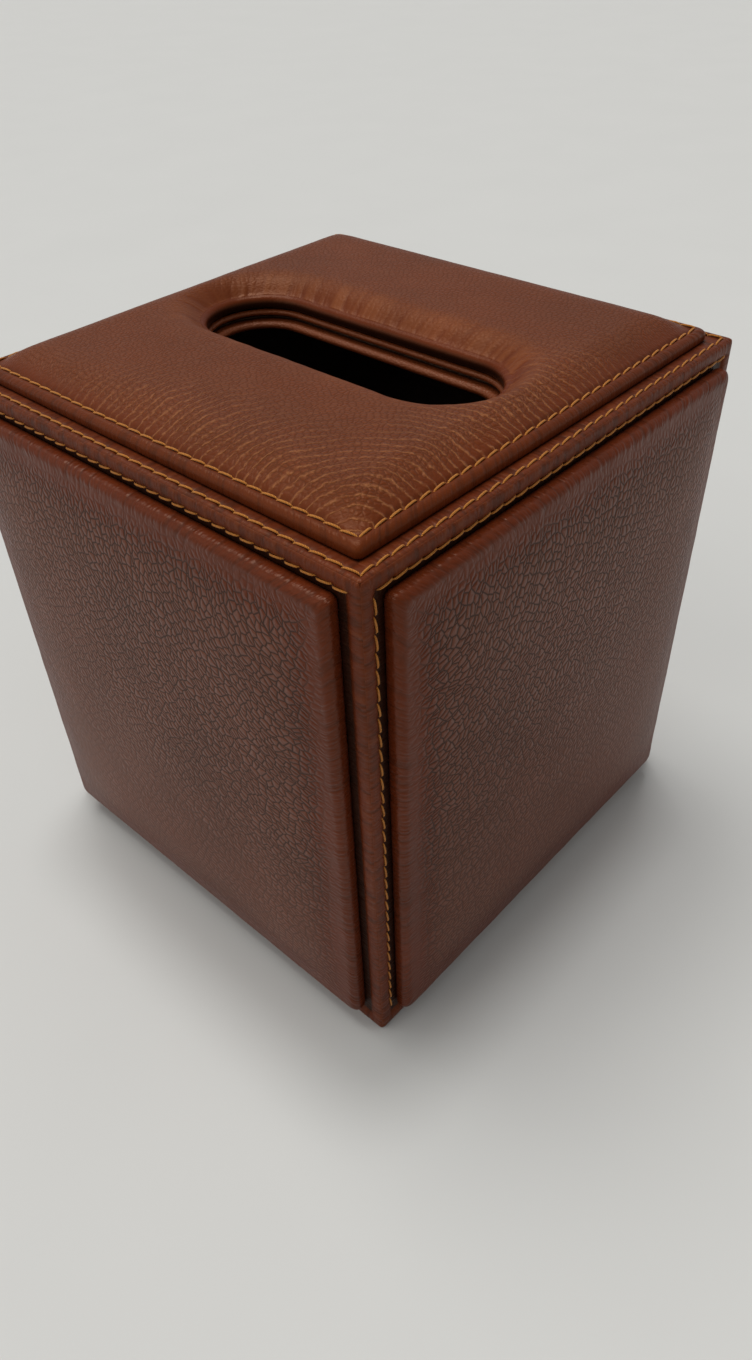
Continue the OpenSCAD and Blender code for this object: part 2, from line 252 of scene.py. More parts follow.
class NodeMaker:
    """Adds nodes to one tree in short calls. A value may be a number, a colour or a socket."""

    def __init__(self, tree):
        self.tree = tree
        self.count = 0

    def add(self, kind, values=None, **settings):
        node = self.tree.nodes.new(kind)
        node.location = (self.count % 12 * 190, -(self.count // 12) * 260)
        self.count += 1
        for key, value in settings.items():
            setattr(node, key, value)
        for key, value in (values or {}).items():
            if isinstance(value, bpy.types.NodeSocket):
                self.tree.links.new(value, node.inputs[key])
            elif value is not None:
                node.inputs[key].default_value = value
        return node

    def math(self, operation, a, b=None, c=None, clamp=False):
        return self.add("ShaderNodeMath", {0: a, 1: b, 2: c}, operation=operation, use_clamp=clamp).outputs[0]

    def vector(self, operation, a, b=None, scale=None, out=0):
        node = self.add("ShaderNodeVectorMath", operation=operation)
        for key, value in ((0, a), (1, b), ("Scale", scale)):
            if isinstance(value, bpy.types.NodeSocket):
                self.tree.links.new(value, node.inputs[key])
            elif value is not None:
                node.inputs[key].default_value = value
        return node.outputs[out]

    def span(self, value, low, high, to_low=0.0, to_high=1.0, smooth=True):
        """Moves a value from one range to another, held at its ends."""
        kind = "SMOOTHSTEP" if smooth else "LINEAR"
        return self.add("ShaderNodeMapRange",
                        {"Value": value, "From Min": low, "From Max": high, "To Min": to_low, "To Max": to_high},
                        interpolation_type=kind).outputs["Result"]

    def mix(self, factor, a, b, blend="MIX"):
        node = self.add("ShaderNodeMix", data_type="RGBA", blend_type=blend, clamp_factor=True)
        for key, value in (("Factor_Float", factor), ("A_Color", a), ("B_Color", b)):
            socket = next(s for s in node.inputs if s.identifier == key)
            if isinstance(value, bpy.types.NodeSocket):
                self.tree.links.new(value, socket)
            else:
                socket.default_value = value if key == "Factor_Float" else (*value[:3], 1)
        return next(s for s in node.outputs if s.identifier == "Result_Color")

    def blend(self, factor, a, b):
        """A number between a and b."""
        node = self.add("ShaderNodeMix", data_type="FLOAT", clamp_factor=True)
        for key, value in (("Factor_Float", factor), ("A_Float", a), ("B_Float", b)):
            socket = next(s for s in node.inputs if s.identifier == key)
            if isinstance(value, bpy.types.NodeSocket):
                self.tree.links.new(value, socket)
            else:
                socket.default_value = value
        return next(s for s in node.outputs if s.identifier == "Result_Float")

    def noise(self, vector, scale, detail=2.0, roughness=0.5, flat=False):
        return self.add("ShaderNodeTexNoise",
                        {"Vector": vector, "Scale": scale, "Detail": detail, "Roughness": roughness},
                        noise_dimensions="2D" if flat else "3D").outputs["Fac"]

    def split(self, vector):
        node = self.add("ShaderNodeSeparateXYZ", {"Vector": vector})
        return node.outputs[0], node.outputs[1], node.outputs[2]

    def join(self, x, y, z=0.0):
        return self.add("ShaderNodeCombineXYZ", {0: x, 1: y, 2: z}).outputs[0]

    def map(self, name):
        return self.add("ShaderNodeUVMap", uv_map=name).outputs["UV"]

    def value(self, name):
        return self.add("ShaderNodeAttribute", attribute_type="GEOMETRY", attribute_name=name).outputs["Fac"]

    def place(self):
        return self.add("ShaderNodeTexCoord").outputs["Object"]

    def group(self, tree, **values):
        node = self.add("ShaderNodeGroup", node_tree=tree)
        for key, value in values.items():
            socket = node.inputs[key.replace("_", " ")]
            if isinstance(value, bpy.types.NodeSocket):
                self.tree.links.new(value, socket)
            else:
                socket.default_value = value
        return node.outputs


def new_group(name, inputs, outputs):
    """An empty shader group. Inputs are (name, kind, default), outputs (name, kind)."""
    tree = bpy.data.node_groups.new(name, "ShaderNodeTree")
    for label, kind, default in inputs:
        socket = tree.interface.new_socket(label, in_out="INPUT", socket_type="NodeSocket" + kind)
        if default is not None:
            socket.default_value = default
    for label, kind in outputs:
        tree.interface.new_socket(label, in_out="OUTPUT", socket_type="NodeSocket" + kind)
    maker = NodeMaker(tree)
    source = maker.add("NodeGroupInput")
    sink = maker.add("NodeGroupOutput")
    return tree, maker, source.outputs, sink.inputs


def pebble_grain_group():
    """Pebbled hide whose creases run in long arcs round the corner it was pulled to."""
    if "Pebbled Grain" in bpy.data.node_groups:
        return bpy.data.node_groups["Pebbled Grain"]
    tree, m, source, sink = new_group(
        "Pebbled Grain",
        [("Place", "Vector", None), ("Pebble Width", "Float", 1.6), ("Pebble Length", "Float", 3.0),
         ("Arc Pitch", "Float", 2.7), ("Wander", "Float", 1.0)],
        [("Height", "Float"), ("Crease", "Float"), ("Arc", "Float")])
    place = m.vector("SCALE", source["Place"], scale=1 / MM)
    drift = m.math("SUBTRACT", m.noise(place, 0.07, 1, flat=True), 0.5)
    waver = m.math("SUBTRACT", m.noise(place, 0.42, 1, flat=True), 0.5)
    quiver = m.math("SUBTRACT", m.noise(place, 1.1, 1, flat=True), 0.5)
    stray = m.math("MULTIPLY_ADD", drift, 4.0, m.math("MULTIPLY", waver, 0.4))
    arc_stray = m.math("MULTIPLY_ADD", waver, 0.8, m.math("MULTIPLY", quiver, 0.55))
    radius = m.math("MULTIPLY_ADD", stray, source["Wander"], m.vector("LENGTH", place, out="Value"))
    x, y, _ = m.split(place)
    angle = m.math("ARCTAN2", y, x)
    # The grain is laid in bands, so that its pebbles keep their size at any distance from the corner
    band = m.math("MULTIPLY", source["Pebble Width"], 3.2)
    lane = m.math("DIVIDE", radius, band)
    index = m.math("FLOOR", lane)
    middle = m.math("MULTIPLY", m.math("ADD", index, 0.5), band)
    shuffle = m.add("ShaderNodeTexWhiteNoise", {"W": index}, noise_dimensions="1D").outputs["Value"]
    along = m.math("DIVIDE", m.math("MULTIPLY", angle, middle), source["Pebble Length"])
    cells = m.join(m.math("MULTIPLY_ADD", shuffle, 50.0, along), m.math("DIVIDE", radius, source["Pebble Width"]))
    wall = m.add("ShaderNodeTexVoronoi", {"Vector": cells, "Scale": 1.0, "Randomness": 0.85},
                 voronoi_dimensions="2D", feature="DISTANCE_TO_EDGE").outputs["Distance"]
    share = m.math("FRACT", lane)
    border = m.math("MULTIPLY", m.math("MINIMUM", share, m.math("SUBTRACT", 1.0, share)), 3.2)
    wall = m.math("SMOOTH_MIN", wall, border, 0.08)
    fine = m.noise(place, 2.2, 2, 0.6, flat=True)
    height = m.math("MULTIPLY_ADD", fine, 0.08, m.span(wall, -0.05, 0.42))
    m.tree.links.new(height, sink["Height"])
    m.tree.links.new(m.span(wall, 0.0, 0.16, 1.0, 0.0), sink["Crease"])
    # Thin raised arcs
    turn = m.math("FRACT", m.math("DIVIDE", m.math("ADD", radius, arc_stray), source["Arc Pitch"]))
    off = m.math("ABSOLUTE", m.math("SUBTRACT", turn, 0.5))
    shown = m.span(m.noise(place, 0.7, 2, flat=True), 0.34, 0.56, 0.25, 1.0)
    m.tree.links.new(m.math("MULTIPLY", m.span(off, 0.0, 0.2, 1.0, 0.0), shown), sink["Arc"])
    return tree


def pucker_group():
    """Fine folds that run across a hem, from a map that goes round the hem."""
    if "Hem Puckers" in bpy.data.node_groups:
        return bpy.data.node_groups["Hem Puckers"]
    tree, m, source, sink = new_group(
        "Hem Puckers",
        [("Round", "Vector", None), ("Distance", "Float", 0.0), ("Fine", "Float", 1.1), ("Broad", "Float", 0.36)],
        [("Fold", "Float")])
    ring = m.vector("SCALE", source["Round"], scale=1 / MM)
    x, y, _ = m.split(ring)
    place = m.join(x, y, m.math("MULTIPLY", source["Distance"], 0.16))
    fine = m.add("ShaderNodeTexNoise", {"Vector": place, "Scale": source["Fine"], "Detail": 1.0}).outputs["Fac"]
    broad = m.add("ShaderNodeTexNoise", {"Vector": place, "Scale": source["Broad"], "Detail": 1.0}).outputs["Fac"]
    both = m.math("MULTIPLY_ADD", fine, 0.5, m.math("MULTIPLY", broad, 0.5))
    m.tree.links.new(m.span(both, 0.36, 0.64, smooth=False), sink["Fold"])
    return tree


def tone_group():
    """Slow changes of tone over a hide, and its pores."""
    if "Hide Tone" in bpy.data.node_groups:
        return bpy.data.node_groups["Hide Tone"]
    tree, m, source, sink = new_group(
        "Hide Tone", [("Place", "Vector", None)], [("Cloud", "Float"), ("Pore", "Float")])
    m.tree.links.new(m.noise(source["Place"], 38.0, 3, 0.55), sink["Cloud"])
    m.tree.links.new(m.noise(source["Place"], 2400.0, 2, 0.6), sink["Pore"])
    return tree


def new_material(name):
    material = bpy.data.materials.new(name)
    material.use_nodes = True
    tree = material.node_tree
    tree.nodes.clear()
    m = NodeMaker(tree)
    shader = m.add("ShaderNodeBsdfPrincipled")
    out = m.add("ShaderNodeOutputMaterial", {"Surface": shader.outputs["BSDF"]})
    out.is_active_output = True
    return material, m, shader


def bump(m, shader, height, depth_mm):
    """Turns a height between 0 and 1 into a surface this many millimetres deep."""
    node = m.add("ShaderNodeBump", {"Strength": 1.0, "Distance": depth_mm * MM, "Height": height})
    m.tree.links.new(node.outputs["Normal"], shader.inputs["Normal"])


def padded_hide(name, colours, sizes, top=False):
    """The pebbled leather of a padded panel, smooth and deeper in colour where it rolls over its edge."""
    material, m, shader = new_material(name)
    shader.inputs["Specular IOR Level"].default_value = 0.24 if top else 0.28
    grain = m.group(pebble_grain_group(), Place=m.map("hide"),
                    Pebble_Width=sizes.pebble_width / MM * (0.6 if top else 1.0),
                    Pebble_Length=sizes.pebble_length / MM * (0.6 if top else 1.0))
    hem = m.value("edge")
    folds = m.group(pucker_group(), Round=m.map("hem"), Distance=hem, Fine=0.9, Broad=0.36)["Fold"]
    tone = m.group(tone_group(), Place=m.place())
    start, full = (2.6, 9.0) if top else (2.6, 10.0)
    pebbled = m.span(hem, start, full, 0.15, 1.0)
    stretched = m.span(hem, 3.0 if top else 4.0, 9.0 if top else 17.0, 1.0, 0.0)
    if top:
        rim = m.value("rim_gap")
        pebbled = m.math("MULTIPLY", pebbled, m.span(rim, 3.0, 12.0, 0.15, 1.0))
        stretched = m.math("MAXIMUM", m.math("MULTIPLY", stretched, 0.6), m.span(rim, 1.0, 9.0, 0.9, 0.0))
        arcs = m.math("MULTIPLY", m.span(hem, 8.0, 36.0, 1.0, 0.0), m.span(hem, 2.2, 3.0))
        reach = m.vector("LENGTH", m.map("hide"), out="Value")
        arcs = m.math("MULTIPLY", arcs, m.span(reach, 60.0 * MM, 125.0 * MM, 1.0, 0.0))
        rays = m.group(pucker_group(), Round=m.map("rim"), Distance=rim, Fine=0.55, Broad=0.3)["Fold"]
        ray_depth = m.math("MULTIPLY", m.span(rim, 3.0, 14.0, 1.0, 0.0), m.span(rim, -0.5, 1.5))
    else:
        arcs = m.span(hem, 12.0, 60.0, 0.35, 0.0)
        reach = m.vector("LENGTH", m.map("hide"), out="Value")
        pebbled = m.math("MULTIPLY", pebbled, m.span(reach, 70.0 * MM, 175.0 * MM, 1.0, 0.4))
    arc = m.math("MULTIPLY", grain["Arc"], arcs)
    crease = m.math("MULTIPLY", grain["Crease"], pebbled)
    # Painted reflection: the sides get a greyish pink sheen of the bright table mixed into their colour
    colour = m.mix(0.0 if top else 0.36, colours.hide, srgb(120, 92, 84))
    colour = m.mix(stretched, colour, colours.hide_deep)
    # The grain's creases are painted darker, strongest on the sides: partly the hide's own grain colour, partly painted
    # shade
    colour = m.mix(m.math("MULTIPLY", crease, 0.4 if top else 0.95), colour, colours.hide_crease)
    # Painted highlight: pale tan on the crests of the raised arcs of the top
    colour = m.mix(m.math("MULTIPLY", arc, 0.42 if top else 0.0), colour, srgb(186, 122, 76))
    # Painted shade in the troughs of the puckers along the hem
    fold_shade = m.math("MULTIPLY", m.span(hem, 1.5, 5.0, 1.0, 0.0), m.span(folds, 0.0, 0.6, 0.3, 0.0))
    colour = m.mix(fold_shade, colour, colours.hide_crease)
    if top:
        # Painted highlight: pale tan on the raised short folds that fan out round the slot's rim
        colour = m.mix(m.math("MULTIPLY", m.math("MULTIPLY", rays, ray_depth), 0.22), colour, srgb(176, 108, 62))
        # Painted shade: the rim's inner wall, down in the slot, is painted near black
        colour = m.mix(m.span(rim, -3.4, -1.6, 0.9, 0.0), colour, srgb(14, 7, 4))
    colour = m.mix(m.span(tone["Cloud"], 0.3, 0.7, 0.0, 0.22, smooth=False), colour, colours.hide_crease)
    m.tree.links.new(colour, shader.inputs["Base Color"])
    shader.inputs["Specular Tint"].default_value = (1.0, 0.52, 0.28, 1) if top else (1.0, 0.66, 0.48, 1)
    rough = m.blend(stretched, 0.42, 0.34)
    m.tree.links.new(m.math("MULTIPLY_ADD", crease, 0.15, rough), shader.inputs["Roughness"])
    height = m.math("MULTIPLY", grain["Height"], m.math("MULTIPLY", pebbled, 1.0 if top else 2.6))
    height = m.math("MULTIPLY_ADD", arc, 1.3 if top else 0.4, height)
    height = m.math("MULTIPLY_ADD", folds, m.span(hem, 1.5, 5.0, 0.9 if top else 1.3, 0.0), height)
    if top:
        height = m.math("MULTIPLY_ADD", rays, m.math("MULTIPLY", ray_depth, 1.5), height)
    height = m.math("MULTIPLY_ADD", tone["Pore"], 0.12, height)
    bump(m, shader, height, 0.14)
    return material


def edge_hide(name, colours, gap):
    """The smoother leather of the cover and its raised edges, with painted shade from the gap beside the pad on."""
    material, m, shader = new_material(name)
    shader.inputs["Specular IOR Level"].default_value = 0.3
    shader.inputs["Specular Tint"].default_value = (1.0, 0.6, 0.4, 1)
    tone = m.group(tone_group(), Place=m.place())
    across = m.value("edge")
    folds = m.group(pucker_group(), Round=m.map("hem"), Distance=across, Fine=0.95, Broad=0.4)["Fold"]
    fine = m.noise(m.place(), 900.0, 2, 0.6)
    colour = m.mix(m.span(tone["Cloud"], 0.3, 0.7, 0.0, 0.3, smooth=False), colours.hide_deep, colours.hide_crease)
    colour = m.mix(m.span(across, 0.0, 1.2, 0.35, 0.0), colour, colours.hide)
    # Painted light and shade on the puckers: lighter on their crests, darker in their troughs
    colour = m.mix(m.span(folds, 0.5, 1.0, 0.0, 0.45), colour, colours.hide)
    colour = m.mix(m.span(folds, 0.0, 0.5, 0.4, 0.0), colour, colours.hide_crease)
    # Painted shade: the hide is painted near black down in the gaps beside the pads
    colour = m.mix(m.span(across, gap, gap + 0.8, 0.0, 0.85), colour, srgb(16, 8, 5))
    m.tree.links.new(colour, shader.inputs["Base Color"])
    m.tree.links.new(m.span(fine, 0.3, 0.7, 0.4, 0.52), shader.inputs["Roughness"])
    height = m.math("MULTIPLY_ADD", folds, 1.0, m.math("MULTIPLY", fine, 0.4))
    bump(m, shader, height, 0.22)
    return material


def trim_hide(name, light, dark, painted_groove_shade=False):
    """The leather of the slot's lining and of the base."""
    material, m, shader = new_material(name)
    tone = m.group(tone_group(), Place=m.place())
    wall = m.add("ShaderNodeTexVoronoi", {"Vector": m.place(), "Scale": 900.0, "Randomness": 1.0},
                 feature="DISTANCE_TO_EDGE").outputs["Distance"]
    colour = m.mix(m.span(tone["Cloud"], 0.3, 0.7, 0.0, 0.5, smooth=False), light, dark)
    if painted_groove_shade:
        # Painted shade: near black down in the grooves between the slot's lips
        colour = m.mix(m.span(m.value("edge"), 0.5, 1.5, 0.0, 0.92), colour, srgb(14, 7, 4))
    m.tree.links.new(colour, shader.inputs["Base Color"])
    shader.inputs["Specular Tint"].default_value = (1.0, 0.65, 0.45, 1)
    m.tree.links.new(m.span(tone["Pore"], 0.2, 0.8, 0.36, 0.56), shader.inputs["Roughness"])
    height = m.math("MULTIPLY_ADD", tone["Pore"], 0.4, m.span(wall, 0.0, 0.25))
    bump(m, shader, height, 0.06)
    return material


def sewing_thread(name, colours):
    """Twisted thread: plies that wind round the stitch, with painted shade between them."""
    material, m, shader = new_material(name)
    u, v, _ = m.split(m.map("twist"))
    turn = m.math("MULTIPLY_ADD", u, 2.6, m.math("MULTIPLY", v, 3.0))
    ply = m.math("ABSOLUTE", m.math("SINE", m.math("MULTIPLY", turn, math.pi)))
    hair = m.noise(m.place(), 3500.0, 2, 0.6)
    # Painted shade in the grooves between the plies
    colour = m.mix(m.span(ply, 0.0, 0.6, 0.5, 0.0), colours.thread, srgb(120, 66, 22))
    colour = m.mix(m.span(hair, 0.45, 0.75, 0.0, 0.25), colour, srgb(236, 182, 98))
    m.tree.links.new(colour, shader.inputs["Base Color"])
    shader.inputs["Roughness"].default_value = 0.5
    shader.inputs["Specular Tint"].default_value = (1.0, 0.75, 0.4, 1)
    shader.inputs["Sheen Weight"].default_value = 0.08
    bump(m, shader, m.math("MULTIPLY_ADD", hair, 0.15, ply), 0.12)
    return material


def soft_lining(name, colours):
    """Short-napped lining cloth."""
    material, m, shader = new_material(name)
    nap = m.noise(m.place(), 1600.0, 3, 0.7)
    cloud = m.noise(m.place(), 60.0, 2, 0.5)
    colour = m.mix(m.span(nap, 0.3, 0.7, 0.0, 0.5, smooth=False), colours.lining, colours.trim)
    colour = m.mix(m.span(cloud, 0.35, 0.65, 0.0, 0.3), colour, srgb(20, 14, 12))
    m.tree.links.new(colour, shader.inputs["Base Color"])
    shader.inputs["Roughness"].default_value = 0.92
    shader.inputs["Sheen Weight"].default_value = 0.3
    bump(m, shader, nap, 0.2)
    return material


def plain_stock(name, colour, dark, scale, roughness, depth, metallic=0.0, stretch=(1, 1, 1)):
    """Board, foam or steel: a base colour with its own grain, pores or brushing."""
    material, m, shader = new_material(name)
    place = m.vector("MULTIPLY", m.place(), stretch)
    fleck = m.noise(place, scale, 3, 0.65)
    mixed = m.mix(m.span(fleck, 0.3, 0.7, 0.0, 0.55, smooth=False), colour, dark)
    m.tree.links.new(mixed, shader.inputs["Base Color"])
    m.tree.links.new(m.span(fleck, 0.2, 0.8, roughness - 0.08, roughness + 0.08), shader.inputs["Roughness"])
    shader.inputs["Metallic"].default_value = metallic
    bump(m, shader, fleck, depth)
    return material


def material_for(key):
    """Each finish is made once, when a piece first asks for it."""
    if key in bpy.data.materials:
        return bpy.data.materials[key]
    scene = bpy.context.scene
    colours, sizes = scene.napkin_box_colours, scene.napkin_box_sizes
    make = {
        "side_hide": lambda: padded_hide(key, colours, sizes),
        "top_hide": lambda: padded_hide(key, colours, sizes, top=True),
        # The last number given to edge_hide is where its painted shade of the gap beside the pad begins
        "edge_hide": lambda: edge_hide(key, colours, 4.3),
        "rim_hide": lambda: edge_hide(key, colours, 5.2),
        "trim_hide": lambda: trim_hide(key, colours.trim, colours.hide_crease),
        "slot_hide": lambda: trim_hide(key, colours.hide, colours.hide_deep, painted_groove_shade=True),
        "sewing_thread": lambda: sewing_thread(key, colours),
        "soft_lining": lambda: soft_lining(key, colours),
        "grey_board": lambda: plain_stock(key, colours.board, srgb(110, 102, 92), 500.0, 0.85, 0.12),
        "pad_foam": lambda: plain_stock(key, colours.foam, srgb(176, 160, 126), 1400.0, 0.95, 0.3),
        "bare_steel": lambda: plain_stock(key, colours.steel, srgb(120, 122, 126), 700.0, 0.3, 0.02,
                                          metallic=1.0, stretch=(1, 12, 1)),
    }
    return make[key]()


# ---------------------------------------------------------------- shapes


class RoundedOutline:
    """Points round a rectangle with rounded corners, each kept at its own station on the outline.

    A station is the share of the straight side that the point lies at, and the way it faces,
    so that outlines of other sizes and roundings have their points side by side."""

    def __init__(self, across, up, faces):
        self.across, self.up = np.asarray(across, float), np.asarray(up, float)
        self.faces = np.radians(np.asarray(faces, float))

    def points(self, half_w, half_h, radius):
        out = np.stack([np.cos(self.faces), np.sin(self.faces)], 1)
        centre = np.stack([self.across * (half_w - radius), self.up * (half_h - radius)], 1)
        return centre + radius * out

    def outward(self):
        return np.stack([np.cos(self.faces), np.sin(self.faces)], 1)


def round_map(points):
    """Where each point of an outline lies on a circle of the same length, in metres: a map with no seam."""
    step = np.linalg.norm(np.roll(points, -1, 0) - points, axis=1)
    along = np.concatenate([[0], np.cumsum(step)[:-1]])
    length = step.sum()
    turn = 2 * math.pi * along / length
    return np.stack([np.cos(turn), np.sin(turn)], 1) * length / (2 * math.pi) * MM


def ring_faces(start, count, next_start, closed=True):
    """Quads from one ring of points to the next one outwards."""
    return [
        (start + i, start + (i + 1) % count, next_start + (i + 1) % count, next_start + i)
        for i in range(count if closed else count - 1)
    ]


PAD_CORNER = 1.5
# Width over which the top pad rises from its slot
RIM_SWELL = 7.5
CORNER_GROWTH = 0.3


def side_pad(side, sizes):
    """A padded panel for one side: a grid over its middle, then rings over its rolled edge and under it."""
    low, high = mm_box(f"pad_{side}_leather")
    across_axis = 0 if side in ("front", "back") else 1
    half_w = (high[across_axis] - low[across_axis]) / 2
    half_h = (high[2] - low[2]) / 2
    middle_v = (high[2] + low[2]) / 2
    out_axis = 1 - across_axis
    outer = max(abs(low[out_axis]), abs(high[out_axis]))
    seat = min(abs(low[out_axis]), abs(high[out_axis]))
    roll, crown = 2.4, 2.0
    edge_high = outer - seat - crown

    a, b = half_w - roll, half_h - roll
    r = PAD_CORNER + CORNER_GROWTH * roll
    xs = grid_lines(a, r, 2.6)
    ys = grid_lines(b, r, 2.6)
    x, y = np.meshgrid(xs, ys, indexing="xy")
    x, y = x.ravel(), y.ravel()
    # The grid's four corners are rounded
    qx, qy = np.abs(x) - (a - r), np.abs(y) - (b - r)
    corner = (qx > 0) & (qy > 0)
    ux, uy = qx[corner] / r, qy[corner] / r
    rounded_x = (a - r) + r * ux * np.sqrt(1 - uy * uy / 2)
    rounded_y = (b - r) + r * uy * np.sqrt(1 - ux * ux / 2)
    x[corner], y[corner] = rounded_x * np.sign(x[corner]), rounded_y * np.sign(y[corner])
    nx, ny = len(xs), len(ys)
    index = np.arange(nx * ny).reshape(ny, nx)
    faces = [
        (int(index[j, i]), int(index[j, i + 1]), int(index[j + 1, i + 1]), int(index[j + 1, i]))
        for j in range(ny - 1) for i in range(nx - 1)
    ]
    loop = np.concatenate([index[0, :-1], index[:-1, -1], index[-1, :0:-1], index[:0:-1, 0]])
    bx, by = x[loop], y[loop]
    cx, cy = np.clip(bx, -(a - r), a - r), np.clip(by, -(b - r), b - r)
    facing = np.degrees(np.arctan2(by - cy, bx - cx))
    outline = RoundedOutline(cx / (a - r), cy / (b - r), facing)

    swell = sizes.side_swell / MM
    lift = rise(a - np.abs(x), swell) * rise(b - np.abs(y), swell)
    height = edge_high + crown * lift
    points = [np.stack([x, y, height], 1)]
    hide = [np.stack([x, y], 1)]
    edge = [roll + np.minimum(a - np.abs(x), b - np.abs(y))]
    ring_map = round_map(outline.points(half_w, half_h, PAD_CORNER))
    nearest = nearest_station(x, y, a, b, outline.points(a, b, r))
    hem = [ring_map[nearest]]
    base = np.stack([bx, by], 1)

    count = len(loop)
    steps = [(roll * (1 - math.cos(t)), edge_high - roll * (1 - math.sin(t)), roll * (math.pi / 2 - t))
             for t in np.radians([76, 60, 44, 28, 12, 0])]
    down = edge_high - roll
    steps += [(0.0, down * 0.45, roll * math.pi / 2 + down * 0.55), (0.35, 0.05, roll * math.pi / 2 + down),
              (1.6, 0.0, roll * math.pi / 2 + down + 1.3), (6.0, 0.0, roll * math.pi / 2 + down + 5)]
    previous = None
    for inset, up, unrolled in steps:
        ring = outline.points(half_w - inset, half_h - inset, PAD_CORNER + CORNER_GROWTH * inset)
        start = sum(len(p) for p in points)
        if previous is None:
            faces += [
                (int(loop[i]), int(start + i), int(start + (i + 1) % count), int(loop[(i + 1) % count]))
                for i in range(count)
            ]
        else:
            faces += [
                (previous + i, start + i, start + (i + 1) % count, previous + (i + 1) % count)
                for i in range(count)
            ]
        points.append(np.column_stack([ring, np.full(count, up)]))
        hide.append(base + outline.outward() * unrolled)
        edge.append(np.full(count, max(0.0, inset) if unrolled < roll * math.pi / 2 + 0.1 else 0.0))
        hem.append(ring_map)
        previous = start
    points, hide, edge, hem = (np.concatenate(part) for part in (points, hide, edge, hem))

    # The hide isn't quite even, and gathers a little along its edge
    seed = {"front": 1.0, "right": 2.0, "back": 3.0, "left": 4.0}[side]
    soft = smooth_noise(np.column_stack([points[:, :2], np.zeros(len(points))]), 24.0, seed)
    gather = smooth_noise(np.column_stack([hem / MM, edge * 0.1]), 5.0, seed + 9)
    near = np.clip(1 - np.abs(edge - 3.0) / 9, 0, 1)
    top_face = points[:, 2] > edge_high * 0.3
    points[:, 2] += np.where(top_face, 0.16 * soft * np.clip(edge / 12, 0, 1) + 0.16 * gather * near, 0)

    hide_from = np.array([PULLED_TO[side] * half_w, half_h])
    points[:, 1] += middle_v
    points[:, 2] += seat
    obj = new_object(f"{side}_padding", stand_up(points, side), faces)
    set_map(obj, "hide", (hide - hide_from) * MM)
    set_map(obj, "hem", hem)
    set_value(obj, "edge", edge)
    apply_modifier(obj, "SUBSURF", levels=1, render_levels=1)
    apply_modifier(obj, "SOLIDIFY", thickness=sizes.hide_thickness, offset=-1.0, use_even_offset=False)
    return obj


def grid_lines(half, corner, step):
    """Grid lines from -half to half, closer together over the rounded corners."""
    ends = np.linspace(0, corner, 4)
    inner = half - corner
    middle = np.linspace(-inner, inner, int(round(2 * inner / step)) + 1)
    return np.concatenate([-half + ends[:-1], middle, half - ends[:-1][::-1]])


def nearest_station(x, y, half_w, half_h, outline):
    """For each point of a grid, the point of the outline that it lies nearest to, straight out."""
    dx, dy = half_w - np.abs(x), half_h - np.abs(y)
    sideways = dx < dy
    px = np.where(sideways, np.sign(x) * half_w, x)
    py = np.where(sideways, y, np.sign(y) * half_h)
    gap = (px[:, None] - outline[None, :, 0]) ** 2 + (py[:, None] - outline[None, :, 1]) ** 2
    return gap.argmin(1)


def slot_distance(x, y, straight, radius):
    """How far a point lies outside the slot's outline."""
    return np.hypot(np.maximum(np.abs(x) - straight, 0), y) - radius


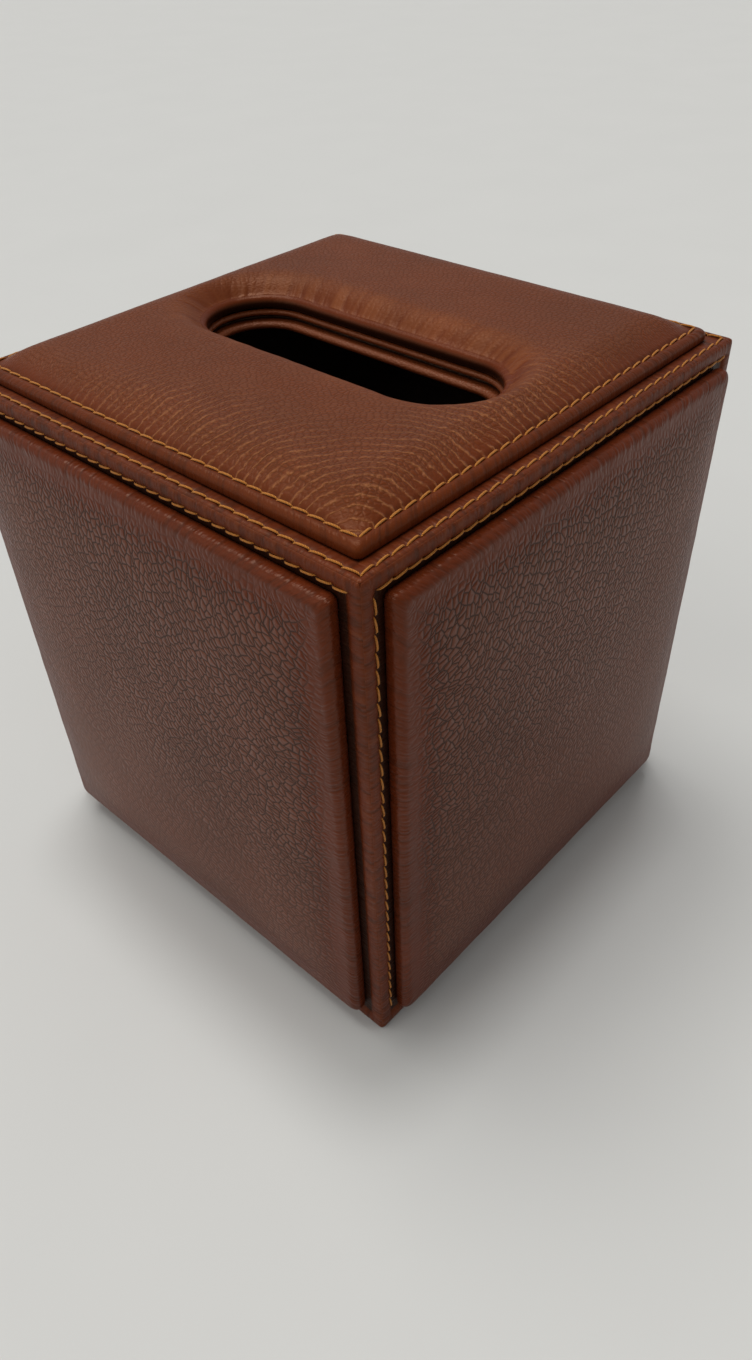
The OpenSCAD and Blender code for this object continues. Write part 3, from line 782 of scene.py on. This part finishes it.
def top_pad(sizes):
    """The top panel: rings from its outer edge, over the swell, to the rolled rim of the slot."""
    low, high = mm_box("pad_top_leather")
    half, seat, crest = high[0], low[2], high[2]
    lining_low, lining_high = mm_box("slot_lining")
    slot_half = lining_high[0] - 2.7
    slot_radius = lining_high[1] - 2.7
    straight = slot_half - slot_radius
    roll, slot_roll, edge_high = 1.9, 2.2, 3.8
    crown = crest - seat - edge_high
    seam, swell = sizes.pad_seam / MM, sizes.top_swell / MM

    per_side, per_corner = 46, 6
    shares = np.linspace(-1, 1, per_side + 1)
    across, up, facing, slot_side, slot_share = [], [], [], [], []
    for k, (cx, cy) in enumerate(((1, None), (None, 1), (-1, None), (None, -1))):
        sign = -1 if k >= 2 else 1
        for t in shares * sign:
            across.append(cx if cx is not None else -t)
            up.append(cy if cy is not None else t)
            facing.append(90 * k)
        corner = ((1, 1), (-1, 1), (-1, -1), (1, -1))[k]
        for step in range(1, per_corner):
            across.append(corner[0])
            up.append(corner[1])
            facing.append(90 * k + 90 * step / per_corner)
    # The straight runs above are right for k = 0 and 2; the other two run the same way round
    outline = RoundedOutline(across, up, facing)
    ring0 = outline.points(half, half, PAD_CORNER)
    turn = np.unwrap(np.arctan2(ring0[:, 1], ring0[:, 0]))
    count = len(ring0)

    def rim(out):
        return slot_match(ring0 / half, out)

    rim0 = rim(0.0)
    hem_map, rim_map = round_map(ring0), round_map(rim0)
    points, hide, edge, gap, faces = [], [], [], [], []

    def lay(ring, height, unrolled=0.0, inward=False, edge_value=None, gap_value=None):
        start = sum(len(p) for p in points)
        points.append(np.column_stack([ring, height if np.ndim(height) else np.full(count, height)]))
        flat = ring + outline.outward() * unrolled
        hide.append(flat)
        edge.append(np.full(count, edge_value) if edge_value is not None
                    else half - np.maximum(np.abs(ring[:, 0]), np.abs(ring[:, 1])))
        gap.append(np.full(count, gap_value) if gap_value is not None
                   else slot_distance(ring[:, 0], ring[:, 1], straight, slot_radius))
        if start:
            faces.extend(
                (start - count + i, start - count + (i + 1) % count, start + (i + 1) % count, start + i)
                for i in range(count))

    def outer(inset):
        return outline.points(half - inset, half - inset, PAD_CORNER + CORNER_GROWTH * inset)

    # Turned under, then up the outer edge and over its roll
    lay(outer(6.0), 0.0, 8.0, edge_value=0)
    lay(outer(1.2), 0.0, 4.0, edge_value=0)
    lay(outer(0.3), 0.08, 3.6, edge_value=0)
    lay(outer(0.0), 0.5, 3.2, edge_value=0)
    for t in np.radians([0, 18, 36, 54, 72, 90]):
        inset = roll * (1 - math.cos(t))
        lay(outer(inset), edge_high - 0.15 - roll * (1 - math.sin(t)), roll * (math.pi / 2 - t), edge_value=inset)
    lay(outer(seam - 0.25), edge_high - 0.3)
    lay(outer(seam + 0.05), edge_high - 0.5)
    lay(outer(seam + 0.4), edge_high - 0.3)
    # Over the swell, from the seam to the rim's roll
    start_ring, end_ring = outer(seam + 0.9), rim(slot_roll)
    shares = np.concatenate([[0, 0.022, 0.05, 0.085, 0.125, 0.17], np.linspace(0.225, 0.8, 11), [0.86, 0.91, 0.955, 1]])
    for s in shares:
        ring = start_ring * (1 - s) + end_ring * s
        x, y = ring[:, 0], ring[:, 1]
        dx, dy = half - seam - np.abs(x), half - seam - np.abs(y)
        away = slot_distance(x, y, straight, slot_radius) - slot_roll
        short = sum((1 - rise(np.maximum(d, 0), width)) ** 2
                    for d, width in ((dx, swell), (dy, swell), (away, RIM_SWELL)))
        height = edge_high + crown * np.maximum(0, 1 - np.sqrt(short))
        lay(ring, height)
    for t in np.radians([74, 56, 38, 20, 0]):
        lay(rim(slot_roll * (1 - math.cos(t))), edge_high - slot_roll * (1 - math.sin(t)),
            gap_value=-slot_roll * (math.pi / 2 - t))
    lay(rim(0.0), 0.8, gap_value=-4.0)
    lay(rim(0.3), 0.06, gap_value=-5.0)
    lay(rim(5.5), 0.0, gap_value=-6.0)
    points, hide, edge, gap = (np.concatenate(part) for part in (points, hide, edge, gap))
    layers = len(points) // count
    hem = np.tile(hem_map, (layers, 1))
    around = np.tile(rim_map, (layers, 1))

    soft = smooth_noise(np.column_stack([points[:, :2], np.zeros(len(points))]), 26.0, 5.0)
    gather = smooth_noise(np.column_stack([hem / MM, edge * 0.1]), 4.0, 6.0)
    rays = smooth_noise(np.column_stack([around / MM, gap * 0.05]), 2.6, 7.0)
    raised = points[:, 2] > 2.0
    points[:, 2] += np.where(raised, 0.2 * soft * np.clip((edge - seam) / 12, 0, 1)
                             + 0.12 * gather * np.clip(1 - np.abs(edge - 4) / 8, 0, 1)
                             + 0.22 * rays * np.clip(1 - np.abs(gap - 3) / 9, 0, 1), 0)
    points[:, 2] += seat
    obj = new_object("top_padding", points, faces)
    set_map(obj, "hide", (hide - np.array([half, -half])) * MM)
    set_map(obj, "hem", hem)
    set_map(obj, "rim", around)
    set_value(obj, "edge", edge)
    set_value(obj, "rim_gap", gap)
    apply_modifier(obj, "SUBSURF", levels=1, render_levels=1)
    apply_modifier(obj, "SOLIDIFY", thickness=sizes.hide_thickness, offset=-1.0, use_even_offset=False)
    return obj


def slot_match(shares, out):
    """The slot's outline moved out, each point in line with a point of a square outline of half width 1."""
    lining_high = mm_box("slot_lining")[1]
    radius = lining_high[1] - 2.7
    straight = lining_high[0] - 2.7 - radius
    radius += out
    end_angle = math.radians(58)
    result = []
    for px, py in shares:
        if abs(px) >= abs(py):
            angle = py / abs(px) * end_angle
            result.append((math.copysign(straight + radius * math.cos(angle), px), radius * math.sin(angle)))
        else:
            wide = px / abs(py) * (straight + radius * math.cos(end_angle))
            over = max(abs(wide) - straight, 0)
            result.append((wide, math.copysign(math.sqrt(max(radius * radius - over * over, 0)), py)))
    return np.array(result)


def framed_sheet(name, width, height, loops, slot_out=None):
    """A sheet drawn lying down round the origin: a raised border, and a flat seat that may have the slot in it.

    loops are (distance from the sheet's edge, height) pairs."""
    columns, rows = int(round(width / 1.15)), int(round(height / 1.15))
    across = np.linspace(-1, 1, columns + 1)[:-1]
    up = np.linspace(-1, 1, rows + 1)[:-1]
    stations = np.concatenate([
        np.column_stack([across, -np.ones(columns)]), np.column_stack([np.ones(rows), up]),
        np.column_stack([-across, np.ones(columns)]), np.column_stack([-np.ones(rows), -up])])
    half = np.array([width / 2, height / 2])
    rings = [np.column_stack([stations * (half - inset), np.full(len(stations), level)]) for inset, level in loops]
    if slot_out is not None:
        last = rings[-1][:, :2]
        rim = slot_match(last / np.abs(last).max(), slot_out)
        rings += [np.column_stack([last * (1 - t) + rim * t, rings[-1][:, 2]]) for t in (0.3, 0.65, 1.0)]
    count = len(stations)
    faces = [(k * count + i, k * count + (i + 1) % count, (k + 1) * count + (i + 1) % count, (k + 1) * count + i)
             for k in range(len(rings) - 1) for i in range(count)]
    return new_object(name, np.concatenate(rings), faces)


def select_points(obj, chosen):
    """Selects these points, and the edges and faces between them."""
    points = obj.data.vertices
    chosen = np.asarray(chosen, bool)
    points.foreach_set("select", chosen)
    obj.data.edges.foreach_set("select", [bool(chosen[list(e.vertices)].all()) for e in obj.data.edges])
    obj.data.polygons.foreach_set("select", [bool(chosen[list(f.vertices)].all()) for f in obj.data.polygons])


def border_map(obj, width, height, with_foot):
    """Lays a map along a sheet's four borders, and keeps each point's distance from the nearest one."""
    points = points_of(obj) + np.array([width / 2, height / 2, 0])
    foot = points[:, 1] if with_foot else np.full(len(points), 1e6)
    sides = np.stack([points[:, 0], width - points[:, 0], height - points[:, 1], foot])
    set_value(obj, "edge", np.clip(sides.min(0), 0, 30))
    corner = np.empty(len(obj.data.loops), int)
    obj.data.loops.foreach_get("vertex_index", corner)
    middle = np.array([f.center for f in obj.data.polygons]) / MM + np.array([width / 2, height / 2, 0])
    total = np.array([f.loop_total for f in obj.data.polygons])
    foot = middle[:, 1] if with_foot else np.full(len(middle), 1e6)
    nearest = np.stack([middle[:, 0], width - middle[:, 0], height - middle[:, 1], foot]).argmin(0)
    nearest = np.repeat(nearest, total)
    at = points[corner]
    along = np.where(nearest < 2, at[:, 1], at[:, 0])
    layer = obj.data.uv_layers.get("hem") or obj.data.uv_layers.new(name="hem")
    layer.data.foreach_set(
        "uv", (np.stack([along, nearest * 37.0], 1) * MM).astype(np.float32).ravel())


def press_holes(obj, sites, length, depth=0.28, reach=0.8):
    """Presses a small hollow into a lying sheet at both ends of each stitch, and a shallow one under it."""
    points = points_of(obj)
    for place, along, _ in sites:
        near = np.where(np.abs(points - place).max(1) < length)[0]
        if not len(near):
            continue
        for end, share in ((-0.5, 1.0), (0.5, 1.0), (0.0, 0.35)):
            gap = np.linalg.norm((points[near] - (place + along * end * length))[:, :2], axis=1)
            points[near, 2] -= depth * share * np.exp(-(gap / reach) ** 2 * 1.6)
    set_points(obj, points)


def row_sites(start, end, up, pitch):
    """Stitches evenly spaced on a straight seam: (place, direction, way up) for each one."""
    start, end = np.asarray(start, float), np.asarray(end, float)
    length = np.linalg.norm(end - start)
    count = max(1, int(round(length / pitch)))
    along = (end - start) / length
    return [(start + (end - start) * (i + 0.5) / count, along, np.asarray(up, float)) for i in range(count)]


def one_stitch(name, sizes):
    """A single stitch, lying along x: a strand that bends down into its holes."""
    bpy.ops.object.select_all(action="DESELECT")
    bpy.ops.mesh.primitive_uv_sphere_add(segments=6, ring_count=8, radius=1.0)
    obj = bpy.context.active_object
    obj.name = obj.data.name = name
    points = points_of(obj) * MM
    half, thick = sizes.stitch_length / MM / 2, sizes.thread_thickness / MM / 2
    along = points[:, 2]
    ring = np.sqrt(np.maximum(1 - along ** 2, 1e-9))
    full = (1 - np.abs(along) ** 4.5) ** 0.5
    shape = np.where(ring > 1e-3, full / ring, 0)
    bent = np.column_stack([
        along * half,
        points[:, 1] * shape * thick,
        points[:, 0] * shape * thick * 0.92 + thick * (0.6 - 2.0 * np.abs(along) ** 4.5),
    ])
    around = np.arctan2(points[:, 1], points[:, 0]) / (2 * math.pi)
    set_points(obj, bent)
    set_map(obj, "twist", np.column_stack([along * half, around]))
    # The seam of the map round the strand is mended face by face
    layer = obj.data.uv_layers["twist"]
    for face in obj.data.polygons:
        turns = [layer.data[i].uv[1] for i in face.loop_indices]
        for i, turn in zip(face.loop_indices, turns):
            if max(turns) - turn > 0.5:
                layer.data[i].uv[1] = turn + 1
    return obj


def sew(name, sites, sizes, body="box", slant=1.0):
    """One row of stitches: a stitch is made once and copied to every site, then they are joined."""
    base = one_stitch(name + "_start", sizes)
    copies = []
    for number, (place, along, up) in enumerate(sites):
        along, up = Vector(along).normalized(), Vector(up).normalized()
        wobble = noise.noise(Vector(place) * 0.9 + Vector((3.1, 0.7, number)))
        along = Matrix.Rotation(slant * sizes.stitch_slant * (1 + 0.5 * wobble), 3, up) @ along
        side = up.cross(along)
        turn = Matrix((along, side, up)).transposed().to_4x4()
        copy = base.copy()
        copy.data = base.data.copy()
        copy.data.transform(Matrix.Translation(Vector(place) * MM) @ turn)
        bpy.context.scene.collection.objects.link(copy)
        copies.append(copy)
    bpy.data.objects.remove(base)
    bpy.ops.object.select_all(action="DESELECT")
    for copy in copies:
        copy.select_set(True)
    bpy.context.view_layer.objects.active = copies[0]
    bpy.ops.object.join()
    obj = bpy.context.active_object
    obj.name = obj.data.name = name
    return finish_piece(obj, material_for("sewing_thread"), body)


def lay_sites(sites, side):
    """Sites on a lying side sheet, stood up against their side face."""
    result = []
    for place, along, up in sites:
        stood = stand_up(np.array([place, place + along, place + up]), side)
        result.append((stood[0], stood[1] - stood[0], stood[2] - stood[0]))
    return result


def slot_band(name, profile, count=176):
    """A closed band round the slot, from the (distance out, height) pairs of its section."""
    lining_high = mm_box("slot_lining")[1]
    radius = lining_high[1] - 2.7
    straight = lining_high[0] - 2.7 - radius
    per_arc = count * 3 // 10
    per_run = count // 2 - per_arc
    stations = []
    for k in (0, 1):
        sign = 1 - 2 * k
        for i in range(per_arc):
            angle = math.radians(-90 + 180 * i / per_arc + 180 * k)
            stations.append((sign * straight, math.cos(angle), math.sin(angle)))
        for i in range(per_run):
            angle = math.radians(90 + 180 * k)
            stations.append((sign * straight * (1 - 2 * i / per_run), math.cos(angle), math.sin(angle)))
    stations = np.array(stations)
    count = len(stations)
    points, faces = [], []
    for out, z in profile:
        ring = np.column_stack([stations[:, 0] + (radius + out) * stations[:, 1],
                                (radius + out) * stations[:, 2], np.full(count, z)])
        points.append(ring)
    rings = len(profile)
    for k in range(rings):
        a, b = k * count, ((k + 1) % rings) * count
        faces += [(a + i, b + i, b + (i + 1) % count, a + (i + 1) % count) for i in range(count)]
    around = round_map(points[0][:, :2])
    obj = new_object(name, np.concatenate(points), faces)
    set_map(obj, "hem", np.tile(around, (rings, 1)))
    return obj, np.tile(around, (rings, 1))


SIDE_BORDER = [(0.44, 74.56), (0.72, 74.80), (1.08, 74.95), (1.5, 75.02), (2.5, 75.06), (3.3, 75.0),
               (3.8, 74.86), (4.15, 74.6), (4.35, 74.3), (4.6, 74.2), (7.5, 74.2)]
TOP_BORDER = [(0.44, 161.56), (0.72, 161.80), (1.08, 161.96), (1.5, 162.0), (1.95, 161.92), (2.35, 161.72),
              (2.75, 161.68), (3.5, 161.74), (4.6, 161.66), (5.4, 161.5), (8.5, 161.5)]
# How far each row of stitches lies from the box's edge
SIDE_SEAM, RIM_SEAM = 4.15, 2.35


def side_seams(width, height, pitch):
    """The two sewn rows of a side, on its lying sheet: along its top and down its left edge."""
    face, up = 74.72, (0, 0, 1)
    left, right, top = SIDE_SEAM - width / 2, width / 2 - SIDE_SEAM, height / 2 - SIDE_SEAM
    return (row_sites((left + 1, top, face), (right + 0.5, top, face), up, pitch)
            + row_sites((left, top - 1.5, face), (left, 8.0 - height / 2, face), up, pitch))


# ---------------------------------------------------------------- operators


class NAPKIN_OT_side_padding(bpy.types.Operator):
    """Makes the four padded side panels"""

    bl_idname = "napkin.side_padding"
    bl_label = "Side Padding"

    def execute(self, context):
        for side in SIDES:
            obj = side_pad(side, context.scene.napkin_box_sizes)
            finish_piece(obj, material_for("side_hide"), "box", [f"pad_{side}_leather"])
        return {"FINISHED"}


class NAPKIN_OT_top_padding(bpy.types.Operator):
    """Makes the padded top panel with the slot's rolled rim"""

    bl_idname = "napkin.top_padding"
    bl_label = "Top Padding"

    def execute(self, context):
        obj = top_pad(context.scene.napkin_box_sizes)
        finish_piece(obj, material_for("top_hide"), "box", ["pad_top_leather"])
        return {"FINISHED"}


class NAPKIN_OT_side_covers(bpy.types.Operator):
    """Makes the leather of the four sides, with its raised and sewn edges"""

    bl_idname = "napkin.side_covers"
    bl_label = "Side Covers"

    def execute(self, context):
        sizes = context.scene.napkin_box_sizes
        width, height = 150.0, 162.0
        stitch = sizes.stitch_length / MM
        for side in SIDES:
            obj = framed_sheet(f"{side}_cover", width, height, SIDE_BORDER)
            # The hide goes on round the foot and under the wall
            low, level = SIDE_BORDER[0]
            foot_line = low - height / 2
            for drop, inward in ((-low, -1.06), (0, -3.4)):
                points = points_of(obj)
                select_points(obj, (points[:, 1] < foot_line + 0.01) & (points[:, 2] < level + 0.01))
                bpy.ops.object.mode_set(mode="EDIT")
                bpy.ops.mesh.select_mode(type="EDGE")
                bpy.ops.mesh.extrude_edges_move(
                    TRANSFORM_OT_translate={"value": (0, drop * MM, inward * MM)})
                bpy.ops.object.mode_set(mode="OBJECT")
                foot_line += drop
                level += inward
            points = points_of(obj)
            under = (points[:, 2] < SIDE_BORDER[0][1] - 0.5) & (points[:, 1] < 0.2 - height / 2)
            points[under, 0] *= points[under, 2] / SIDE_BORDER[0][1]
            set_points(obj, points)
            apply_modifier(obj, "SUBSURF", levels=1, render_levels=1, boundary_smooth="PRESERVE_CORNERS")
            points = points_of(obj)
            last = SIDE_BORDER[-1][0] - 0.05
            select_points(obj, (np.abs(points[:, 0]) < width / 2 - last) & (np.abs(points[:, 1]) < height / 2 - last))
            bpy.ops.object.mode_set(mode="EDIT")
            bpy.ops.mesh.select_mode(type="EDGE")
            bpy.ops.mesh.edge_face_add()
            bpy.ops.object.mode_set(mode="OBJECT")
            border_map(obj, width, height, True)
            seams = side_seams(width, height, sizes.stitch_pitch / MM)
            press_holes(obj, seams, stitch)
            apply_modifier(obj, "SOLIDIFY", thickness=sizes.hide_thickness, offset=-1.0)
            raise_by = np.array([0, height / 2, 0])
            set_points(obj, stand_up(points_of(obj) + raise_by, side))
            finish_piece(obj, material_for("edge_hide"), "box", [f"cover_{side}"])
            seams = [(place + raise_by, along, up) for place, along, up in seams]
            sew(f"{side}_topstitching", lay_sites(seams, side), sizes)
        return {"FINISHED"}


class NAPKIN_OT_top_cover(bpy.types.Operator):
    """Makes the leather of the top, with its sewn rim round the top pad"""

    bl_idname = "napkin.top_cover"
    bl_label = "Top Cover"

    def execute(self, context):
        sizes = context.scene.napkin_box_sizes
        width = 150.0
        obj = framed_sheet("top_cover", width, width, TOP_BORDER, slot_out=2.8)
        apply_modifier(obj, "SUBSURF", levels=1, render_levels=1, boundary_smooth="PRESERVE_CORNERS")
        border_map(obj, width, width, True)
        pitch, face = sizes.stitch_pitch / MM, 161.86
        a = width / 2 - RIM_SEAM
        seams = []
        for start, end in (((-a, -a), (a, -a)), ((a, -a), (a, a)), ((a, a), (-a, a)), ((-a, a), (-a, -a))):
            seams += row_sites((*start, face), (*end, face), (0, 0, 1), pitch)
        press_holes(obj, seams, sizes.stitch_length / MM)
        apply_modifier(obj, "SOLIDIFY", thickness=sizes.hide_thickness, offset=-1.0)
        finish_piece(obj, material_for("rim_hide"), "box", ["cover_top"])
        sew("rim_topstitching", seams, sizes)
        return {"FINISHED"}


class NAPKIN_OT_pad_topstitching(bpy.types.Operator):
    """Sews the seam round the top pad"""

    bl_idname = "napkin.pad_topstitching"
    bl_label = "Top Pad Topstitching"

    def execute(self, context):
        sizes = context.scene.napkin_box_sizes
        low, high = mm_box("pad_top_leather")
        line = high[0] - sizes.pad_seam / MM
        face, pitch = low[2] + 3.62, sizes.stitch_pitch / MM
        seams = []
        for (sx, sy), (ex, ey) in (((-1, -1), (1, -1)), ((1, -1), (1, 1)), ((1, 1), (-1, 1)), ((-1, 1), (-1, -1))):
            seams += row_sites((sx * line, sy * line, face), (ex * line, ey * line, face), (0, 0, 1), pitch)
        sew("pad_topstitching", seams, sizes)
        return {"FINISHED"}


class NAPKIN_OT_slot_trim(bpy.types.Operator):
    """Makes the leather that lines the slot, with its two soft lips"""

    bl_idname = "napkin.slot_trim"
    bl_label = "Slot Trim"

    def execute(self, context):
        section = [
            (2.7, 161.3), (1.6, 161.3), (0.6, 161.2), (0.0, 160.95), (-0.3, 160.5), (-0.2, 160.0),
            (0.3, 159.6), (1.1, 159.3), (1.7, 159.0), (1.9, 158.7), (1.5, 158.4), (0.6, 158.25), (-0.6, 158.2),
            (-1.5, 157.9), (-2.0, 157.3), (-1.9, 156.6), (-1.4, 156.15), (-0.4, 156.0), (2.7, 156.0)]
        obj, around = slot_band("slot_trim", section)
        points = points_of(obj)
        folds = smooth_noise(np.column_stack([around / MM, points[:, 2] * 0.2]), 1.8, 11.0)
        centre = np.column_stack([np.clip(points[:, 0], -34, 34), np.zeros(len(points))])
        away = points[:, :2] - centre
        away /= np.linalg.norm(away, axis=1)[:, None]
        lip = np.exp(-((points[:, 2] - 161.1) / 0.7) ** 2)
        points[:, :2] += away * (folds * lip * 0.3)[:, None]
        set_points(obj, points)
        set_value(obj, "edge", np.repeat([out for out, _ in section], len(points) // len(section)))
        finish_piece(obj, material_for("slot_hide"), "box", ["slot_lining"])
        return {"FINISHED"}


class NAPKIN_OT_tab_stitching(bpy.types.Operator):
    """Sews the pull tab to the base flap"""

    bl_idname = "napkin.tab_stitching"
    bl_label = "Pull Tab Stitching"

    def execute(self, context):
        low, high = mm_box("tab_stitching")
        middle, level = (low[1] + high[1]) / 2, mm_box("pull_tab")[0][2]
        seams = row_sites((low[0] - 0.6, middle, level - 0.05), (high[0] + 0.6, middle, level - 0.05), (0, 0, -1),
                          (high[0] - low[0]) / 4)
        obj = sew("tab_topstitching", seams, context.scene.napkin_box_sizes, body="flap")
        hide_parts("tab_stitching")
        return {"FINISHED"}


class NAPKIN_OT_carried_parts(bpy.types.Operator):
    """Gives the boards, foam, linings, base and magnets their finishes"""

    bl_idname = "napkin.carried_parts"
    bl_label = "Carried Parts"

    FINISHES = (
        (("pad_", "_board"), "grey_board"), (("pad_", "_foam"), "pad_foam"), (("board_", ""), "grey_board"),
        (("flap_board", ""), "grey_board"), (("lining_", ""), "soft_lining"), (("flap_lining", ""), "soft_lining"),
        (("catch_plates", ""), "bare_steel"), (("flap_magnets", ""), "bare_steel"), (("", ""), "trim_hide"),
    )

    def execute(self, context):
        for name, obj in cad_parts.items():
            if obj.hide_render:
                continue
            key = next(k for (head, tail), k in self.FINISHES if name.startswith(head) and name.endswith(tail))
            obj.data.materials.clear()
            obj.data.materials.append(material_for(key))
        return {"FINISHED"}


class NAPKIN_OT_stage(bpy.types.Operator):
    """Makes the table top, the lamps and the camera"""

    bl_idname = "napkin.stage"
    bl_label = "Stage"

    def execute(self, context):
        colours = context.scene.napkin_box_colours
        bpy.ops.object.select_all(action="DESELECT")
        bpy.ops.mesh.primitive_plane_add(size=6.0, location=(0, 0, 0))
        floor = context.active_object
        floor.name = "table_top"
        material, m, shader = new_material("table_top")
        cloud = m.noise(m.place(), 14.0, 2, 0.5)
        colour = m.mix(m.span(cloud, 0.3, 0.7, 0.0, 0.06, smooth=False), colours.floor, srgb(180, 180, 178))
        m.tree.links.new(colour, shader.inputs["Base Color"])
        shader.inputs["Roughness"].default_value = 0.6
        shader.inputs["Specular IOR Level"].default_value = 0.3
        floor.data.materials.append(material)

        world = context.scene.world or bpy.data.worlds.new("studio")
        context.scene.world = world
        world.use_nodes = True
        world.node_tree.nodes["Background"].inputs["Color"].default_value = (0.9, 0.9, 0.9, 1)
        world.node_tree.nodes["Background"].inputs["Strength"].default_value = 0.43

        self.lamp("ceiling", (-0.10, 0.14, 0.97), 0.75, 10, (1.0, 1.0, 1.0))
        self.lamp("window", (-0.38, 0.0, 0.92), 1.1, 30, (1.0, 0.99, 0.97))
        self.lamp("fill", (-0.35, -0.75, 0.55), 0.5, 50, (1.0, 0.98, 0.95))

        camera = bpy.data.objects.new("camera", bpy.data.cameras.new("camera"))
        context.scene.collection.objects.link(camera)
        right = Vector((0.73970, 0.67222, -0.03106))
        up = Vector((-0.42324, 0.50062, 0.75515))
        back = -Vector((-0.52318, 0.54544, -0.65481))
        turn = Matrix((right, up, back)).transposed()
        camera.matrix_world = Matrix.Translation((0.18378, -0.18509, 0.27187)) @ turn.to_4x4()
        camera.data.lens = 26.318
        camera.data.sensor_width = 36.0
        camera.data.clip_start = 0.005
        context.scene.camera = camera
        context.scene.view_settings.view_transform = "Standard"
        return {"FINISHED"}

    def lamp(self, name, place, power, spread, colour):
        """A wide soft light from that direction."""
        data = bpy.data.lights.new(name, "SUN")
        data.energy = power
        data.angle = math.radians(spread)
        data.color = colour
        lamp = bpy.data.objects.new(name, data)
        bpy.context.scene.collection.objects.link(lamp)
        lamp.location = place
        lamp.rotation_mode = "QUATERNION"
        lamp.rotation_quaternion = (-Vector(place)).to_track_quat("-Z", "Y")


OPERATORS = (
    NAPKIN_OT_side_padding,
    NAPKIN_OT_top_padding,
    NAPKIN_OT_side_covers,
    NAPKIN_OT_top_cover,
    NAPKIN_OT_pad_topstitching,
    NAPKIN_OT_slot_trim,
    NAPKIN_OT_tab_stitching,
    NAPKIN_OT_carried_parts,
    NAPKIN_OT_stage,
)


class NAPKIN_PT_panel(bpy.types.Panel):
    bl_idname = "NAPKIN_PT_panel"
    bl_label = "Napkin Box"
    bl_space_type = "VIEW_3D"
    bl_region_type = "UI"
    bl_category = "Napkin Box"

    def draw(self, context):
        for settings in (context.scene.napkin_box_sizes, context.scene.napkin_box_colours):
            column = self.layout.column()
            for key in settings.bl_rna.properties.keys():
                if key not in ("rna_type", "name"):
                    column.prop(settings, key)
        column = self.layout.column()
        for operator in OPERATORS:
            column.operator(operator.bl_idname)


CLASSES = (NapkinBoxSizes, NapkinBoxColours, *OPERATORS, NAPKIN_PT_panel)


def register():
    for cls in CLASSES:
        bpy.utils.register_class(cls)
    bpy.types.Scene.napkin_box_sizes = PointerProperty(type=NapkinBoxSizes)
    bpy.types.Scene.napkin_box_colours = PointerProperty(type=NapkinBoxColours)


def unregister():
    del bpy.types.Scene.napkin_box_colours
    del bpy.types.Scene.napkin_box_sizes
    for cls in reversed(CLASSES):
        bpy.utils.unregister_class(cls)


def main():
    register()
    for operator in OPERATORS:
        getattr(bpy.ops.napkin, operator.bl_idname.split(".")[1])()


if __name__ == "__main__":
    main()
